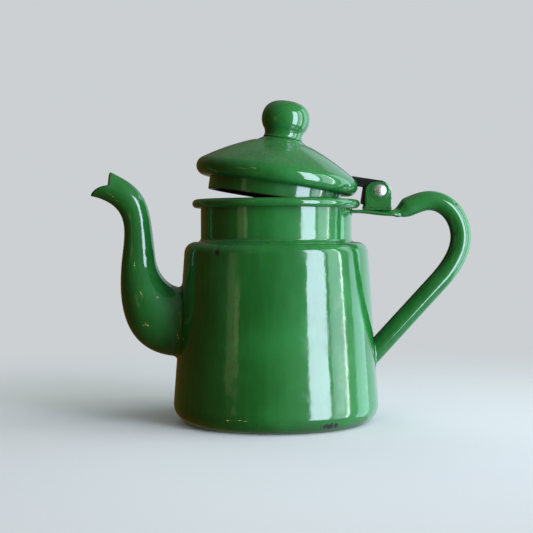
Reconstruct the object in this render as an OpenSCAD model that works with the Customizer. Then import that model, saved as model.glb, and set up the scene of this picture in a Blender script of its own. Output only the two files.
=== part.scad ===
// Gooseneck kettle in enamelled sheet steel, standing on its base with the origin
// at the middle of the foot. +Z is up, the spout points to -X, and the handle and
// the lid's hinge are on the +X side. Millimetres.

/* [Pot] */
// Outside diameter of the pot at its widest, just above the base
base_d = 110; // [92:1:132]
// Outside diameter at the top of the side wall, under the shoulder
shoulder_d = 98.6; // [92:0.2:116]
// Height of the shoulder ledge above the table
shoulder_h = 95.3; // [80:0.1:114]
// Radius of the rounded edge between side wall and base
base_corner_r = 9; // [7.5:0.1:10.8]
// Radius of the rounded shoulder
shoulder_r = 6; // [5:0.1:6.6]
// Thickness of the pot's enamelled sheet
pot_sheet = 1.0; // [0.85:0.05:1.2]
// Width of the flat foot ring that the pot stands on
foot_ring_w = 5; // [4:0.1:6]
// Rise of the bottom plate's middle panel
bottom_panel_rise = 1.2; // [1:0.1:1.5]

/* [Neck and rim] */
// Outside diameter of the neck
neck_d = 81; // [70:0.5:84]
// Height from the shoulder ledge to the top of the rim
neck_h = 22.6; // [19:0.1:27]
// Radius of the hollow between shoulder and neck
neck_fillet_r = 2.2; // [1.8:0.1:2.6]
// Outside radius of the rolled rim bead
bead_r = 2.3; // [2:0.05:2.7]
// How far the bead stands out from the neck
bead_out = 4.5; // [4.2:0.1:5.4]

/* [Spout] */
// Height of the middle of the spout's root above the table
spout_root_h = 52.5; // [46:0.5:60]
// Half height of the spout at its root
spout_root_half_h = 18.6; // [16:0.1:20]
// Half width of the spout at its root
spout_root_half_w = 15.8; // [15.6:0.1:19]
// Distance of the spout's upright stretch from the pot wall
spout_upright_out = 21.7; // [18:0.1:26]
// Outside radius of the spout half way up
spout_mid_r = 8.75; // [7.4:0.05:10.4]
// Outside radius of the slim part of the spout
spout_slim_r = 7.2; // [6:0.1:8.6]
// Distance of the mouth's middle from the pot wall
spout_mouth_out = 42; // [36:0.1:50]
// Height of the mouth's middle above the rim
spout_mouth_rise = 8.5; // [7:0.1:10.2]
// Half distance from the tip of the beak to the tip of the upper lip
spout_mouth_half = 8.1; // [6.8:0.1:9.6]
// Lean of the mouth back from upright, in degrees
spout_mouth_lean = 40; // [34:1:48]
// Depth of the notch between beak and upper lip
spout_notch_depth = 4.2; // [3.5:0.1:5]
// Thickness of the spout's enamelled sheet
spout_sheet = 1.0; // [0.85:0.05:1.2]
// Diameter of each strainer hole in the pot wall behind the spout
strainer_hole_d = 3.2; // [2.7:0.1:3.6]
// Distance between strainer holes
strainer_pitch = 6; // [5:0.1:6.4]

/* [Handle] */
// Width of the handle's flat tongue
tongue_w = 16; // [15.6:0.1:19]
// How far the tongue's edges are turned down where it meets the grip
tongue_lip = 1.5; // [1.2:0.1:1.9]
// Thickness of the handle's sheet
handle_sheet = 1.6; // [1.4:0.05:1.9]
// Width of the rolled grip
grip_w = 15; // [12.6:0.1:18]
// Depth of the rolled grip
grip_depth = 11.2; // [9.4:0.1:13.4]
// Reach of the grip's centre line from the neck
handle_reach = 58.3; // [54:0.1:70]
// Height of the handle's top arch above its tongue
handle_arch_rise = 5.4; // [4.6:0.1:6.5]
// Height where the handle's foot meets the pot wall
handle_foot_h = 37; // [31:0.5:44]

/* [Lid] */
// How far the lid's lip stands out past the neck, all round
lid_overhang = 3.2; // [2.6:0.1:4]
// Radius of the lid's rounded lip
lip_r = 5.1; // [4.4:0.1:6]
// Slope of the dome at the lip, in degrees
dome_edge_slope = 34; // [29:1:38]
// Slope of the dome beside the knob, in degrees
dome_top_slope = 19; // [16:1:22]
// Outside diameter of the raised seat under the knob
knob_seat_d = 22.6; // [22:0.2:27]
// Thickness of the lid's enamelled sheet
lid_sheet = 1.0; // [0.85:0.05:1.2]
// Gap between the neck's inside and the skirt that hangs in it
skirt_clearance = 3.8; // [3.2:0.1:4.6]
// Depth of the skirt below the middle of the lip
skirt_drop = 12; // [10:0.1:14.4]
// Clearance between the lid's lip and the rim when shut
seat_gap = 0.3; // [0.25:0.05:0.36]

/* [Knob] */
// Diameter of the knob's ball
knob_d = 25.6; // [21.4:0.2:30]
// Half height of the ball
knob_half_h = 10.6; // [9:0.1:12.6]
// Outside diameter of the knob's neck
knob_neck_d = 20; // [17:0.2:20.4]
// Height of the knob above its seat
knob_h = 21.4; // [20:0.1:25.6]
// Thickness of the knob's sheet
knob_sheet = 1.0; // [0.85:0.05:1.2]
// Diameter of the rivet that holds the knob
knob_rivet_d = 4; // [3.4:0.1:4.8]

/* [Hinge] */
// Distance of the hinge pin from the neck's face
pin_out = 14.5; // [13.6:0.1:17]
// Height of the hinge pin above the bracket's base
pin_rise = 9; // [8.6:0.1:10.8]
// Diameter of the hinge rivet's shank
pin_d = 4; // [3.4:0.1:4.8]
// Diameter of the hinge rivet's head
pin_head_d = 7; // [6:0.1:8.4]
// Outside width of the bracket over its two ears
bracket_w = 15; // [13:0.1:15.5]
// Thickness of the bracket's sheet
bracket_sheet = 1.2; // [1:0.05:1.4]
// Thickness of the lid leaf's sheet
leaf_sheet = 1.1; // [0.95:0.05:1.3]
// Height of the leaf's top face above the pin
leaf_rise = 5.5; // [5.2:0.1:6.5]
// Side clearance between the leaf and each ear
leaf_side_gap = 0.3; // [0.25:0.05:0.4]
// Radial clearance of the leaf's holes on the pin
pin_gap = 0.05; // [0.04:0.01:0.08]
// Angle by which the lid stands open
lid_ajar = 8.5; // [0:0.5:60]

/* [Hidden] */
$fn = 96;

// Shared constants of the construction
arc_steps = 10;
curve_steps = 22;
spout_sides = 24;
roll_steps = 16;
through = 10;
// Thickness of the weld or seam between two joined sheets
weld_gap = 0.05;

// ---- small helpers ----
function lerp(a, b, t) = a + (b - a) * t;
function unit(v) = v / norm(v);
function smooth(t) = let (u = max(0, min(1, t))) u * u * (3 - 2 * u);
function arc(c, r, a0, a1, n = arc_steps) =
    [for (i = [0:n]) c + r * [cos(lerp(a0, a1, i / n)), sin(lerp(a0, a1, i / n))]];
function bezier(p, t) =
    pow(1 - t, 3) * p[0] + 3 * t * pow(1 - t, 2) * p[1] + 3 * t * t * (1 - t) * p[2] + pow(t, 3) * p[3];
function bezier_run(p, first, n) = [for (i = [first:n]) bezier(p, i / n)];

// Left-hand normal of the stretch of a flat path that starts at point i
function left(path, i) = let (d = unit(path[i + 1] - path[i])) [-d[1], d[0]];
// Left-hand offset at point i that keeps both of its stretches one unit away
function side(path, i) =
    let (last = len(path) - 2, a = left(path, max(0, i - 1)), b = left(path, min(last, i))) (a + b) / (1 + a * b);
// Outline of a sheet of thickness t that follows a path, never crossing the axis
function sheet_outline(path, t) = concat(
    [for (i = [0:len(path) - 1]) let (p = path[i] + side(path, i) * t / 2) [max(0, p[0]), p[1]]],
    [for (i = [len(path) - 1:-1:0]) let (p = path[i] - side(path, i) * t / 2) [max(0, p[0]), p[1]]]
);

// A solid skinned over rings of points. Each ring holds an outer row and an inner
// row of the same count; wrap joins the last column to the first.
module skin(outer, inner, wrap) {
    rows = len(outer);
    cols = len(outer[0]);
    last = wrap ? cols - 1 : cols - 2;
    points = concat([for (r = outer) each r], [for (r = inner) each r]);
    function o(i, k) = i * cols + k % cols;
    function n(i, k) = rows * cols + i * cols + k % cols;
    quads = concat(
        [for (i = [0:rows - 2]) for (k = [0:last]) [o(i, k), o(i, k + 1), o(i + 1, k + 1), o(i + 1, k)]],
        [for (i = [0:rows - 2]) for (k = [0:last]) [n(i, k), n(i + 1, k), n(i + 1, k + 1), n(i, k + 1)]],
        [for (k = [0:last]) [o(0, k), n(0, k), n(0, k + 1), o(0, k + 1)]],
        [for (k = [0:last]) [o(rows - 1, k), o(rows - 1, k + 1), n(rows - 1, k + 1), n(rows - 1, k)]],
        wrap ? [] : [for (i = [0:rows - 2]) [o(i, 0), o(i + 1, 0), n(i + 1, 0), n(i, 0)]],
        wrap ? [] : [for (i = [0:rows - 2]) [o(i, cols - 1), n(i, cols - 1), n(i + 1, cols - 1), o(i + 1, cols - 1)]]
    );
    triangles = [for (q = quads) each [[q[0], q[1], q[2]], [q[0], q[2], q[3]]]];
    polyhedron(points, triangles);
}

// A domed rivet head of radius r and height h, standing up from z = 0
module rivet_dome(r, h) {
    ball_r = (r * r + h * h) / (2 * h);
    intersection() {
        translate([0, 0, h - ball_r]) sphere(r = ball_r);
        cylinder(r = r + 1, h = h);
    }
}

// ---- places worked out from the sizes ----
base_centre = [base_d / 2 - base_corner_r, base_corner_r];
shoulder_centre = [shoulder_d / 2 - shoulder_r, shoulder_h - shoulder_r];
wall_run = shoulder_centre - base_centre;
wall_normal_angle = atan2(wall_run[1], wall_run[0]) - acos((base_corner_r - shoulder_r) / norm(wall_run));
wall_foot = base_centre + base_corner_r * [cos(wall_normal_angle), sin(wall_normal_angle)];
wall_top = shoulder_centre + shoulder_r * [cos(wall_normal_angle), sin(wall_normal_angle)];
// Outside radius of the side wall at height z
function wall_r(z) = lerp(wall_foot[0], wall_top[0], (z - wall_foot[1]) / (wall_top[1] - wall_foot[1]));

neck_r = neck_d / 2;
rim_top = shoulder_h + neck_h;
bead_centre = [neck_r + bead_out - bead_r, rim_top - bead_r];
bead_turn_r = bead_r - pot_sheet / 2;
flare_r = bead_centre[0] - (neck_r - pot_sheet / 2);
flare_centre = [bead_centre[0], bead_centre[1] + bead_turn_r - flare_r];
curl_end_angle = -150;

lip_centre_r = neck_r + lid_overhang - lip_r;
lid_seat_h = flare_centre[1]
    + sqrt(pow(lip_r + flare_r + pot_sheet / 2 + seat_gap, 2) - pow(flare_centre[0] - lip_centre_r, 2));
dome_start = [lip_centre_r, 0] + lip_r * [cos(90 - dome_edge_slope), sin(90 - dome_edge_slope)];
knob_seat_r = knob_seat_d / 2;
dome_r = (dome_start[0] - knob_seat_r) / (sin(dome_edge_slope) - sin(dome_top_slope));
dome_centre = dome_start - dome_r * [sin(dome_edge_slope), cos(dome_edge_slope)];
seat_step = 0.8;
knob_seat_h = dome_centre[1] + dome_r * cos(dome_top_slope) + seat_step;

tongue_z = bead_centre[1] - bead_r - 0.9 - handle_sheet / 2;
bracket_z = tongue_z + handle_sheet / 2;
pin_x = neck_r + pin_out;
pin_z = bracket_z + bracket_sheet + pin_rise;
// Ears of the bracket, to the front and back of the pin and above it
ear_front = 7.8;
ear_back = 6.2;
ear_corner_r = 5.4;
ear_top = 4.6;
bracket_front = 8.2;
bracket_bend_r = 1.8;

// Turns the lid about the hinge pin, from shut to the angle at which it stands
module lid_place() {
    translate([pin_x, 0, pin_z]) rotate([0, lid_ajar, 0]) translate([-pin_x, 0, -pin_z])
        translate([0, 0, lid_seat_h]) children();
}

// ---- pot ----
foot_ring_r = base_centre[0] - foot_ring_w;
pot_path = concat(
    [[foot_ring_r, pot_sheet / 2]],
    arc(base_centre, base_corner_r - pot_sheet / 2, -90, wall_normal_angle),
    arc(shoulder_centre, shoulder_r - pot_sheet / 2, wall_normal_angle, 90),
    arc([neck_r + neck_fillet_r, shoulder_h + neck_fillet_r], neck_fillet_r + pot_sheet / 2, 270, 180, 6),
    arc(flare_centre, flare_r, 180, 95, 6),
    arc(bead_centre, bead_turn_r, 90, curl_end_angle, 20)
);

module pot_shell() {
    color("#1f6b33") difference() {
        rotate_extrude() polygon(sheet_outline(pot_path, pot_sheet));
        for (ring = [0:2]) for (k = [0:max(1, 6 * ring) - 1])
            let (a = k * 60 / max(1, ring), y = ring * strainer_pitch * sin(a), z = spout_root_h + ring * strainer_pitch * cos(a))
                translate([-wall_r(z) - through / 2, y, z]) rotate([0, 90, 0])
                    cylinder(d = strainer_hole_d, h = through);
    }
}

// Flat bottom welded onto the inside of the foot ring, with a raised middle panel
plate_r = base_centre[0] - 0.2;
plate_z = pot_sheet * 1.5;
panel_edge_w = 5;
bottom_path = [
    [0, plate_z + bottom_panel_rise],
    [foot_ring_r - 2 * panel_edge_w, plate_z + bottom_panel_rise],
    [foot_ring_r - panel_edge_w, plate_z],
    [plate_r, plate_z],
];

module bottom_plate() {
    color("#1f6b33") rotate_extrude() polygon(sheet_outline(bottom_path, pot_sheet));
}

// ---- spout ----
// The side view is drawn between two outlines, front and back, with x pointing away
// from the pot. Each has a low half, up to mid height, and a high half, to the mouth.
upright_x = wall_r(spout_root_h) + spout_upright_out;
mouth = [wall_r(spout_root_h) + spout_mouth_out, rim_top + spout_mouth_rise];
mouth_up = [-sin(spout_mouth_lean), cos(spout_mouth_lean)];
spout_mid_z = lerp(spout_root_h, mouth[1], 0.478);
root_low = [wall_r(spout_root_h - spout_root_half_h), spout_root_h - spout_root_half_h];
root_high = [wall_r(spout_root_h + spout_root_half_h), spout_root_h + spout_root_half_h];
mid_front = [upright_x + spout_mid_r, spout_mid_z];
mid_back = [upright_x - spout_mid_r, spout_mid_z];
beak = mouth - spout_mouth_half * mouth_up;
upper_lip = mouth + spout_mouth_half * mouth_up;
front_low = [root_low, [lerp(root_low[0], mid_front[0], 0.65), root_low[1] + 1.4],
    [mid_front[0] + 4.9, lerp(root_low[1], mid_front[1], 0.25)], mid_front];
back_low = [root_high, [lerp(root_high[0], mid_back[0], 0.45), root_high[1] - 0.4],
    [mid_back[0] - 0.8, lerp(root_high[1], mid_back[1], 0.4)], mid_back];
front_high = [mid_front, [mid_front[0] - 2, lerp(mid_front[1], beak[1], 0.5)],
    [mid_front[0] - 3.3, beak[1] - 5.5], beak];
back_high = [mid_back, [mid_back[0] + 3, lerp(mid_back[1], upper_lip[1], 0.55)],
    [mid_back[0] + 1.8, upper_lip[1] - 9.4], upper_lip];
front = concat(bezier_run(front_low, 0, curve_steps), bezier_run(front_high, 1, curve_steps));
back = concat(bezier_run(back_low, 0, curve_steps), bezier_run(back_high, 1, curve_steps));
notch_place = 0.3;
lip_rows = 7;
// How far the mouth's edge is cut back, from the beak at u = -1 to the upper lip at u = 1
function mouth_cut(u) = spout_notch_depth * (u > notch_place
    ? 1 - (u - notch_place) / (1 - notch_place)
    : pow(1 - (notch_place - u) / (1 + notch_place), 2.5));
// Half width of the spout at row i
function spout_half_w(i) = i <= curve_steps
    ? lerp(spout_root_half_w / spout_root_half_h, 1, smooth(1.3 * i / curve_steps)) * norm(back[i] - front[i]) / 2
    : lerp(spout_mid_r, spout_slim_r, smooth(1.6 * (i - curve_steps) / curve_steps));

// One ring of the spout: shrink is the distance inside the outer face
function spout_ring(i, shrink) =
    let (
        ends = len(front) - 1,
        c = (front[i] + back[i]) / 2,
        s = unit(back[i] - front[i]),
        d = [s[1], -s[0]],
        half_h = norm(back[i] - front[i]) / 2 - shrink,
        half_w = spout_half_w(i) - shrink,
        reach = smooth((i - ends + lip_rows) / lip_rows)
    )
    [for (k = [0:spout_sides - 1])
        let (
            a = 360 * k / spout_sides,
            q = c + s * half_h * cos(a) - d * reach * mouth_cut(cos(a)),
            y = half_w * sin(a)
        )
        i == 0 ? [-sqrt(pow(wall_r(q[1]) + weld_gap, 2) - y * y), y, q[1]] : [-q[0], y, q[1]]];

module spout() {
    rows = [0:len(front) - 1];
    color("#1f6b33") skin([for (i = rows) spout_ring(i, 0)], [for (i = rows) spout_ring(i, spout_sheet)], true);
}

// ---- handle ----
grip_x = neck_r + handle_reach;
arch_z = tongue_z + handle_arch_rise;
tongue_end_x = pin_x + ear_back + 0.6;
arch_x = lerp(tongue_end_x, grip_x, 0.565);
grip_z = tongue_z - 13.6;
elbow = [grip_x - 12.2, tongue_z - 37.8];
handle_foot = [wall_r(handle_foot_h), handle_foot_h];
tail_dir = unit(handle_foot - elbow);
handle_curves = [
    [[tongue_end_x, tongue_z], [tongue_end_x + 8, tongue_z], [arch_x - 8, arch_z], [arch_x, arch_z]],
    [[arch_x, arch_z], [lerp(arch_x, grip_x, 0.55), arch_z], [grip_x, lerp(arch_z, grip_z, 0.46)], [grip_x, grip_z]],
    [[grip_x, grip_z], [grip_x, grip_z - 8], elbow - 11 * tail_dir, elbow],
];
tail_steps = 5;
handle_path = concat(
    [[neck_r, tongue_z], [neck_r + 6, tongue_z]],
    bezier_run(handle_curves[0], 0, 12),
    bezier_run(handle_curves[1], 1, 12),
    bezier_run(handle_curves[2], 1, 8),
    [for (i = [1:tail_steps]) lerp(elbow, handle_foot, i / tail_steps)]
);
lip_turn = 145;
roll_len = 9;
function rolled(p) = p[1] < tongue_z - 1 ? 1 : smooth((p[0] - tongue_end_x) / roll_len);

// One row of the rolled strap at station i: face is +0.5 on its outside and -0.5 inside
function strap_row(i, face) =
    let (
        last = len(handle_path) - 1,
        c = handle_path[i],
        n = side(handle_path, i),
        m = rolled(c),
        turn_down = tongue_lip * smooth((c[0] - neck_r - 3) / (tongue_end_x - neck_r - 3)),
        semi_y = (grip_w - handle_sheet) / 2,
        semi_n = (grip_depth - handle_sheet) / 2
    )
    [for (k = [0:roll_steps])
        let (
            u = 2 * k / roll_steps - 1,
            a = 90 - u * lip_turn,
            normal = unit(lerp([0, 1], unit([cos(a) / semi_y, sin(a) / semi_n]), m)),
            flat = [u * tongue_w / 2, -turn_down * smooth((abs(u) - 0.7) / 0.3)],
            mid = lerp(flat, [semi_y * cos(a), semi_n * sin(a)], m),
            p = mid + normal * face * handle_sheet,
            q = c + n * p[1]
        )
        i == 0 ? [sqrt(pow(neck_r + weld_gap, 2) - p[0] * p[0]), p[0], q[1]]
        : i == last ? on_wall(q, p[0], tail_dir)
        : [q[0], p[0], q[1]]];
// The point where a line from q along d meets the pot wall, at distance y from the middle plane
function on_wall(q, y, d, tries = 6) = tries == 0
    ? [q[0], y, q[1]]
    : let (gap = q[0] - sqrt(pow(wall_r(q[1]) + weld_gap, 2) - y * y)) on_wall(q - d * gap / d[0], y, d, tries - 1);

module handle() {
    rows = [0:len(handle_path) - 1];
    color("#1f6b33") skin([for (i = rows) strap_row(i, 0.5)], [for (i = rows) strap_row(i, -0.5)], false);
}

// ---- hinge on the pot ----
// Side view of one ear, drawn with the pin at the origin and its foot at the bracket's base
module ear_outline() {
    foot = -pin_rise - bracket_sheet;
    translate([-ear_front, foot]) square([ear_front + ear_back, ear_top - ear_corner_r - foot]);
    translate([ear_corner_r - ear_front, foot]) square([ear_front + ear_back - 2 * ear_corner_r, ear_top - foot]);
    translate([ear_corner_r - ear_front, ear_top - ear_corner_r]) circle(r = ear_corner_r);
    translate([ear_back - ear_corner_r, ear_top - ear_corner_r]) circle(r = ear_corner_r);
    translate([-bracket_front, foot]) square([bracket_front + ear_back, bracket_sheet + 0.6]);
}

// Cross-section of the bracket: a U with rounded outer bends
module bracket_section() {
    w = bracket_w / 2;
    top = pin_rise + ear_top + bracket_sheet;
    difference() {
        union() {
            translate([-w + bracket_bend_r, 0]) square([2 * (w - bracket_bend_r), top]);
            translate([-w, bracket_bend_r]) square([2 * w, top - bracket_bend_r]);
            for (s = [-1, 1]) translate([s * (w - bracket_bend_r), bracket_bend_r]) circle(r = bracket_bend_r);
        }
        translate([-w + bracket_sheet, bracket_sheet]) square([2 * (w - bracket_sheet), top]);
    }
}

module hinge_bracket() {
    color("#1f6b33") translate([pin_x, 0, pin_z]) difference() {
        intersection() {
            rotate([90, 0, 0]) translate([0, 0, -bracket_w / 2]) linear_extrude(bracket_w) ear_outline();
            translate([-bracket_front, 0, -pin_rise - bracket_sheet]) rotate([90, 0, 90])
                linear_extrude(bracket_front + ear_back) bracket_section();
        }
        rotate([90, 0, 0]) cylinder(d = pin_d, h = bracket_w + 2, center = true);
    }
}

pin_head_h = 1.9;
pin_tail_d = pin_head_d - 0.6;
pin_tail_h = 1.5;

module hinge_rivet() {
    color("#c9cbcd") translate([pin_x, 0, pin_z]) {
        rotate([90, 0, 0]) cylinder(d = pin_d, h = bracket_w, center = true);
        translate([0, -bracket_w / 2, 0]) rotate([90, 0, 0]) rivet_dome(pin_head_d / 2, pin_head_h);
        translate([0, bracket_w / 2, 0]) rotate([-90, 0, 0]) rivet_dome(pin_tail_d / 2, pin_tail_h);
    }
}

// ---- lid, drawn shut with the middle of its lip at z = 0 ----
seat_bend = 0.5;
skirt_r = neck_r - pot_sheet - skirt_clearance;
hem_end_r = skirt_r + 0.4;
lid_path = concat(
    [[knob_rivet_d / 2, knob_seat_h - lid_sheet / 2], [knob_seat_r - seat_bend, knob_seat_h - lid_sheet / 2]],
    [for (i = [0:arc_steps])
        let (a = lerp(dome_top_slope, dome_edge_slope, i / arc_steps))
            dome_centre + (dome_r - lid_sheet / 2) * [sin(a), cos(a)] + (i == 0 ? [seat_bend, 0] : [0, 0])],
    arc([lip_centre_r, 0], lip_r - lid_sheet / 2, 90 - dome_edge_slope - 8, -90, 14),
    [[hem_end_r, -lip_r + lid_sheet / 2]]
);

module lid_cover() {
    color("#1f6b33") lid_place() rotate_extrude() polygon(sheet_outline(lid_path, lid_sheet));
}

// Collar with a flange that lies inside the lid's rolled lip
skirt_mid_r = skirt_r - lid_sheet / 2;
flange_z = -lip_r + lid_sheet * 1.5 + weld_gap;
skirt_bend_r = 1;
skirt_path = concat(
    [[skirt_mid_r, -skirt_drop]],
    arc([skirt_mid_r + skirt_bend_r, flange_z - skirt_bend_r], skirt_bend_r, 180, 90, 5),
    [[lip_centre_r - 0.5, flange_z]]
);

module lid_skirt() {
    color("#1f6b33") lid_place() rotate_extrude() polygon(sheet_outline(skirt_path, lid_sheet));
}

// Hollow pressed knob with a flat floor on the lid's raised seat
knob_floor = knob_seat_h + knob_sheet / 2;
knob_mid_h = knob_seat_h + knob_h - knob_half_h;
ball_a = knob_d / 2 - knob_sheet / 2;
ball_b = knob_half_h - knob_sheet / 2;
knob_neck_mid = (knob_neck_d - knob_sheet) / 2;
ball_start = -acos(knob_neck_mid / ball_a);
knob_path = concat(
    [[knob_rivet_d / 2, knob_floor], [knob_neck_mid - 0.8, knob_floor], [knob_neck_mid, knob_floor + 0.8]],
    [for (i = [0:18]) let (a = lerp(ball_start, 88, i / 18)) [ball_a * cos(a), knob_mid_h + ball_b * sin(a)]],
    [[0.2, knob_mid_h + ball_b], [0, knob_mid_h + ball_b]]
);

module knob() {
    color("#1f6b33") lid_place() rotate_extrude() polygon(sheet_outline(knob_path, knob_sheet));
}

knob_rivet_head_d = 8;
knob_rivet_head_h = 2;

module knob_rivet() {
    under = knob_seat_h - lid_sheet;
    color("#c9cbcd") lid_place() {
        translate([0, 0, under]) cylinder(d = knob_rivet_d, h = lid_sheet + knob_sheet);
        translate([0, 0, under]) mirror([0, 0, 1]) rivet_dome(knob_rivet_head_d / 2, knob_rivet_head_h);
        translate([0, 0, knob_seat_h + knob_sheet]) rivet_dome(knob_rivet_head_d / 2 - 0.6, knob_rivet_head_h - 0.4);
    }
}

// Outer face of the lid as a solid, which trims what is welded to it
lid_outer = concat(
    [[0, -lip_r], [lip_centre_r, -lip_r]],
    arc([lip_centre_r, 0], lip_r, -90, 90 - dome_edge_slope, 20),
    [for (i = [arc_steps - 1:-1:0])
        let (a = lerp(dome_top_slope, dome_edge_slope, i / arc_steps)) dome_centre + dome_r * [sin(a), cos(a)]],
    [[0, knob_seat_h]]
);

leaf_w = bracket_w - 2 * bracket_sheet - 2 * leaf_side_gap;
leaf_front = 8.4;
leaf_foot = 8.2;
leaf_web_drop = 4;
leaf_reach = pin_x - lip_centre_r;
// The flanges' corners pass the rim bead and the bracket's base with this clearance
leaf_swing_gap = 0.4;
leaf_swing_r = norm([pin_x, pin_z] - bead_centre) - bead_r - leaf_swing_gap;

// Side view of the leaf's flanges, drawn with the pin at the origin
module leaf_flange_outline() {
    circle(r = leaf_rise);
    intersection() {
        circle(r = leaf_swing_r);
        translate([-leaf_front, -leaf_foot]) square([leaf_front - 2, leaf_foot + leaf_rise]);
    }
    translate([-2, -leaf_foot + 2]) circle(r = 2);
    translate([-2.5, -leaf_foot + 2]) square([2.5, leaf_foot]);
    translate([-leaf_reach, leaf_rise - leaf_web_drop]) square([leaf_reach, leaf_web_drop]);
}

// Hollow between the flanges, open below and at both ends
module leaf_hollow_outline() {
    r = leaf_rise - leaf_sheet;
    circle(r = r);
    translate([-leaf_reach - 1, -pin_rise]) square([leaf_reach + 1, pin_rise + r]);
    translate([0, -pin_rise]) square([leaf_rise + 1, pin_rise]);
}

module hinge_leaf() {
    color("#15301b") difference() {
        translate([0, 0, -lid_seat_h]) lid_place_leaf() difference() {
            rotate([90, 0, 0]) linear_extrude(leaf_w, center = true) leaf_flange_outline();
            rotate([90, 0, 0]) linear_extrude(leaf_w - 2 * leaf_sheet, center = true) leaf_hollow_outline();
            rotate([90, 0, 0]) cylinder(r = pin_d / 2 + pin_gap, h = leaf_w + 2, center = true);
        }
        lid_place() rotate_extrude() polygon(lid_outer);
    }
}
// The leaf is drawn about the pin, so it only turns with the lid
module lid_place_leaf() {
    translate([pin_x, 0, pin_z + lid_seat_h]) rotate([0, lid_ajar, 0]) children();
}

pot_shell();
bottom_plate();
spout();
handle();
hinge_bracket();
hinge_rivet();
lid_cover();
lid_skirt();
knob();
knob_rivet();
hinge_leaf();
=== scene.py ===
import math

import bmesh
import bpy
import numpy as np
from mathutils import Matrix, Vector


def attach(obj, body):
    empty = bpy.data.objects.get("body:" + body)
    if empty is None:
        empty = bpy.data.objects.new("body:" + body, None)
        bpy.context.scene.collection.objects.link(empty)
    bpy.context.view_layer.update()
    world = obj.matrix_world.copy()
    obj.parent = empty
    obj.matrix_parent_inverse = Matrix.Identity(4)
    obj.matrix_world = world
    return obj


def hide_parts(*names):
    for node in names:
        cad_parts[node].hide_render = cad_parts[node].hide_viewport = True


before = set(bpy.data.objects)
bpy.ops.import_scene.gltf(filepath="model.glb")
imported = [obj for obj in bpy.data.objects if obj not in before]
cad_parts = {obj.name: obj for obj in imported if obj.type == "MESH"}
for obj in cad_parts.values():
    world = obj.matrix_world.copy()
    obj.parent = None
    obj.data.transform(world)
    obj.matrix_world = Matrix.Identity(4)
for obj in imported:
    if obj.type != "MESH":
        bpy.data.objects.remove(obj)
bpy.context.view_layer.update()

mm = 0.001  # every size below is in millimetres, and the meshes are in metres
scene = bpy.context.scene


# 0 below low, 1 above high, and a smooth cubic step between them
def ease(x, low, high):
    t = np.clip((np.asarray(x, float) - low) / (high - low), 0, 1)
    return t * t * (3 - 2 * t)


# centre plus radius times (cos, sin) of angles that run evenly from start to end
def arcRun(centre, radius, start, end, count):
    a = np.radians(np.linspace(start, end, count))
    return np.array(centre, float) + radius * np.column_stack([np.cos(a), np.sin(a)])


# the cubic Bezier of four control points, at evenly spaced parameters
def bezierRun(ctrl, count):
    t = np.linspace(0, 1, count)[:, None]
    p = np.array(ctrl, float)
    return (1 - t) ** 3 * p[0] + 3 * t * (1 - t) ** 2 * p[1] + 3 * t * t * (1 - t) * p[2] + t ** 3 * p[3]


# distance gone at each point of a path, the running sum of its stretches
def lengthAlong(path):
    return np.concatenate([[0], np.cumsum(np.linalg.norm(np.diff(path, axis=0), axis=1))])


# the same path with points no further apart than step, put in by length
def fillIn(path, step):
    gone = lengthAlong(path)
    stops = np.unique(np.round(np.concatenate([gone, np.arange(0, gone[-1], step)]), 4))
    keep = np.concatenate([[True], np.diff(stops) > 0.1 * step])
    keep[-1] = True
    stops = stops[keep]
    return np.column_stack([np.interp(stops, gone, path[:, k]) for k in range(path.shape[1])])


# from a to b by the share t
def along(a, b, t):
    return a + (b - a) * t


# unit vectors, along the last axis
def unit(v):
    return v / np.maximum(np.linalg.norm(v, axis=-1, keepdims=True), 1e-9)


# left-hand normals (-tz, tx) of a flat path with the unit tangent (tx, tz)
def normals(path):
    t = unit(np.gradient(path, axis=0))
    return np.column_stack([-t[:, 1], t[:, 0]])


# A section carried along a path in the XZ plane: the path plus depth times its normal,
# with across as Y. Each row of the grid is the section at one point of the path.
def carried(path, across, depth):
    across, depth = np.broadcast_arrays(across, depth)
    n = normals(path)
    return np.stack([path[:, :1] + n[:, :1] * depth, across, path[:, 1:] + n[:, 1:] * depth], axis=-1)


# level unit vectors straight away from the pot's axis
def awayFromAxis(points):
    return unit(points * [1, 1, 0])


# what is left of the vectors v in a wall that faces out, as unit vectors
def overWall(v, out):
    return unit(v - out * np.sum(v * out, axis=1)[:, None])


# 0 towards both ends of a run and near 1 between them: a half sine to a small power
def endTaper(count, margin, power):
    return np.sin(np.linspace(margin, np.pi - margin, count)) ** power


# A closed outline round a sheet of the given thickness that follows a path: along the
# outer face, round the end, back along the inner face and round the start. outer is 1
# when the outer face is left of the path and -1 when it is right of it. The second
# result is 0 on the outer face and 1 on the inner, the third fades from 1 at a bare edge.
def sheetLoop(path, thickness, outer=1, rounds=5, fade=0.9):
    half = thickness / 2
    t = unit(np.gradient(path, axis=0))
    n = normals(path) * outer
    turn = np.linspace(0, np.pi, rounds + 2)[1:-1, None]
    endCap = path[-1] + half * (np.cos(turn) * n[-1] + np.sin(turn) * t[-1])
    startCap = path[0] - half * (np.cos(turn) * n[0] + np.sin(turn) * t[0])
    loop = np.concatenate([path + half * n, endCap, (path - half * n)[::-1], startCap])
    across = np.linspace(0, 1, rounds)
    inner = np.concatenate([np.zeros(len(path)), across, np.ones(len(path)), 1 - across])
    gone = lengthAlong(path)
    near = np.exp(-np.minimum(gone, gone[-1] - gone) / fade)
    bare = np.concatenate([near, np.ones(rounds), near[::-1], np.ones(rounds)])
    return loop, inner, bare


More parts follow.
